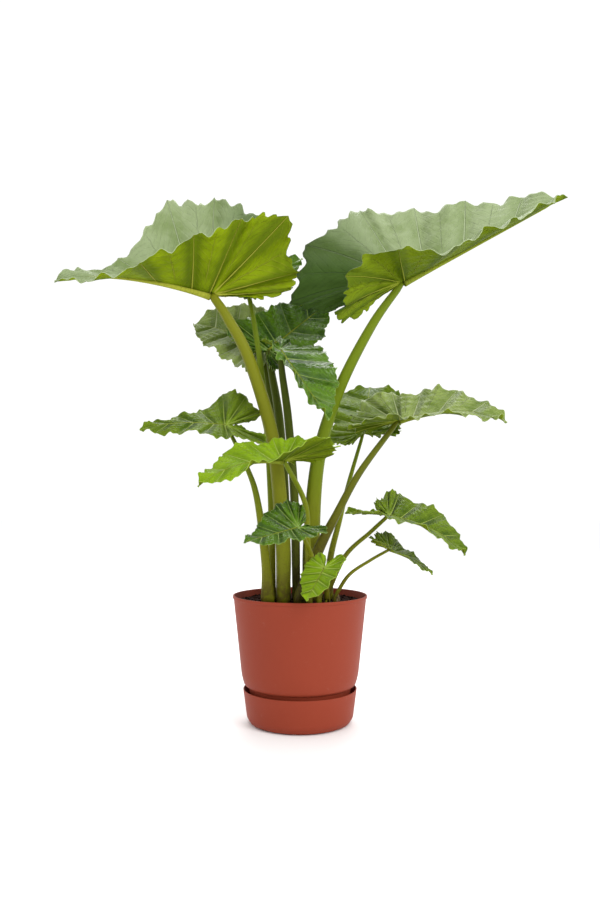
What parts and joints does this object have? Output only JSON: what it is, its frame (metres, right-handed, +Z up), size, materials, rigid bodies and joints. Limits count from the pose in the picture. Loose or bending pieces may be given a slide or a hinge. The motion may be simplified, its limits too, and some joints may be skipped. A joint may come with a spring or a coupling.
{
  "type": "potted alocasia plant",
  "caption": "Leafy potted plant with ruffled, arrow-shaped leaves on thick stalks, in a round terracotta-coloured plastic pot standing in its clip-on saucer.",
  "frame": {"origin": "centre of the saucer's flat base, on the pot's axis", "axes": "+Z up along the pot's axis, -Y the front that the picture shows, +X to the right of that front"},
  "size_m": [1.0532, 0.5734, 1.1686],
  "materials": {
    "pot_plastic": "matte",
    "saucer_plastic": "matte",
    "potting_soil": "matte",
    "old_sheath": "matte",
    "petiole_green": "satin",
    "blade_green": "satin"
  },
  "bodies": {
    "root": {"saucer": "saucer_plastic", "pot": "pot_plastic", "soil": "potting_soil", "old_stub": "old_sheath", "petiole_back_right": "petiole_green", "petiole_centre_back": "petiole_green", "petiole_centre_drooping": "petiole_green", "petiole_centre_left": "petiole_green", "petiole_front_bright": "petiole_green", "petiole_hidden_back": "petiole_green", "petiole_lower_dark": "petiole_green", "petiole_lower_right": "petiole_green", "petiole_mid_left": "petiole_green", "petiole_mid_right": "petiole_green", "petiole_small_right": "petiole_green", "petiole_upper_left": "petiole_green", "petiole_upper_right": "petiole_green", "petiole_young_front": "petiole_green", "blade_back_right": "blade_green", "blade_centre_back": "blade_green", "blade_centre_drooping": "blade_green", "blade_centre_left": "blade_green", "blade_front_bright": "blade_green", "blade_hidden_back": "blade_green", "blade_lower_dark": "blade_green", "blade_lower_right": "blade_green", "blade_mid_left": "blade_green", "blade_mid_right": "blade_green", "blade_small_right": "blade_green", "blade_upper_left": "blade_green", "blade_upper_right": "blade_green", "blade_young_front": "blade_green"}
  },
  "joints": []
}
